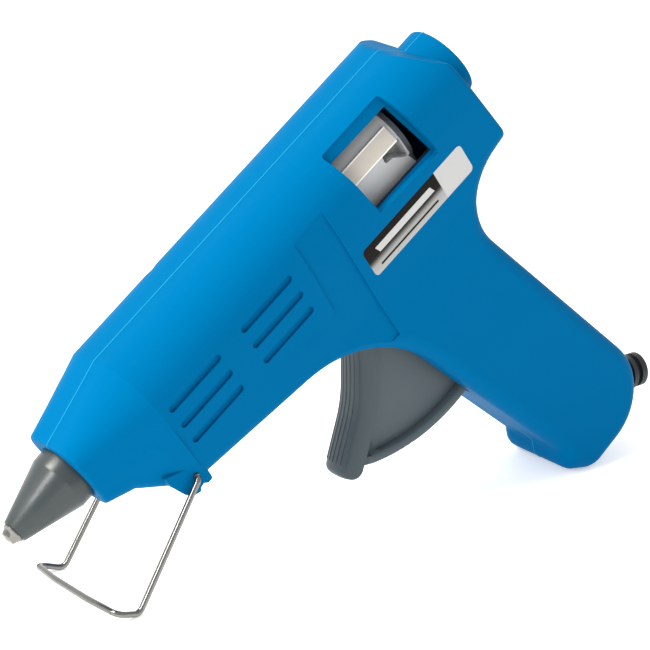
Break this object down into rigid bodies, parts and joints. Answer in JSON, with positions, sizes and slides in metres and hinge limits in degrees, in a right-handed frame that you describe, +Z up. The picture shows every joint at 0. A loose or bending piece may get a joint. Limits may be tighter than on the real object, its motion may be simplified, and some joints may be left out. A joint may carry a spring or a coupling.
{
  "type": "glue gun",
  "caption": "Pistol-grip hot-melt glue gun: clamshell case, trigger-driven stick feed, heated chamber, dark nozzle sleeve, folding wire stand and ribbed cord gland.",
  "frame": {"origin": "centre of the bounding box at its bottom, which is the table that the wire stand and the heel of the grip stand on", "axes": "+Z up, -X towards the nozzle, -Y the side with the label; the stick bore is tilted nose down in the XZ plane"},
  "size_m": [0.2164, 0.0404, 0.1339],
  "materials": {
    "case_blue": "fine satin, moulded",
    "trigger_grey": "satin, moulded",
    "carriage_grey": "semi-gloss, moulded",
    "label_film": "printed film, plain pattern",
    "pin_steel": "ground",
    "screw_steel": "zinc plated",
    "spring_steel": "drawn wire",
    "wire_steel": "nickel plated wire",
    "chamber_aluminium": "die cast",
    "nozzle_brass": "turned",
    "sleeve_dark": "silicone, satin",
    "inlet_silicone": "silicone",
    "heater_ceramic": "ceramic",
    "insulator_film": "polyimide film",
    "clip_steel": "sprung strip",
    "lead_sleeve": "glass-braid sleeve",
    "terminal_plastic": "moulded",
    "gland_rubber": "matte",
    "clamp_plastic": "moulded"
  },
  "bodies": {
    "case": {"left_shell": "case_blue", "right_shell": "case_blue", "side_label": "label_film", "trigger_pin": "pin_steel", "return_spring": "spring_steel", "case_screws": "screw_steel", "melt_chamber": "chamber_aluminium", "nozzle": "nozzle_brass", "nozzle_sleeve": "sleeve_dark", "inlet_sleeve": "inlet_silicone", "ptc_heater": "heater_ceramic", "heater_insulator": "insulator_film", "heater_clip": "clip_steel", "heater_lead_left": "lead_sleeve", "heater_lead_right": "lead_sleeve", "terminal_block": "terminal_plastic", "terminal_screws": "screw_steel", "cord_gland": "gland_rubber", "cord_clamp": "clamp_plastic", "cord_clamp_screws": "screw_steel"},
    "trigger": {"trigger": "trigger_grey"},
    "carriage": {"feed_carriage": "carriage_grey", "clamp_pin": "pin_steel", "clamp_spring": "spring_steel"},
    "clamp": {"stick_clamp": "clip_steel"},
    "stand": {"wire_stand": "wire_steel"}
  },
  "joints": [
    {"name": "trigger_squeeze", "type": "hinge", "parent": "case", "child": "trigger", "pos_m": [0.00186, 0, 0.07188], "axis": [0, -1, 0], "range_deg": [0, 20], "stiffness_Nm_per_rad": 1, "springref_deg": -14.32},
    {"name": "carriage_feed", "type": "slide", "parent": "case", "child": "carriage", "axis": [-0.8054, 0, -0.5928], "range_m": [0, 0.0067], "deforming": ["return_spring"]},
    {"name": "clamp_bite", "type": "hinge", "parent": "carriage", "child": "clamp", "pos_m": [-0.01912, 0, 0.09953], "axis": [0, 1, 0], "range_deg": [0, 8], "stiffness_Nm_per_rad": 0.01, "springref_deg": -17.19},
    {"name": "stand_fold", "type": "hinge", "parent": "case", "child": "stand", "pos_m": [-0.0593, 0, 0.03283], "axis": [0, -1, 0], "range_deg": [0, 140]}
  ],
  "couplings": [
    {"joint": "carriage_feed", "follows": "trigger_squeeze", "m_per_rad": 0.01869}
  ]
}
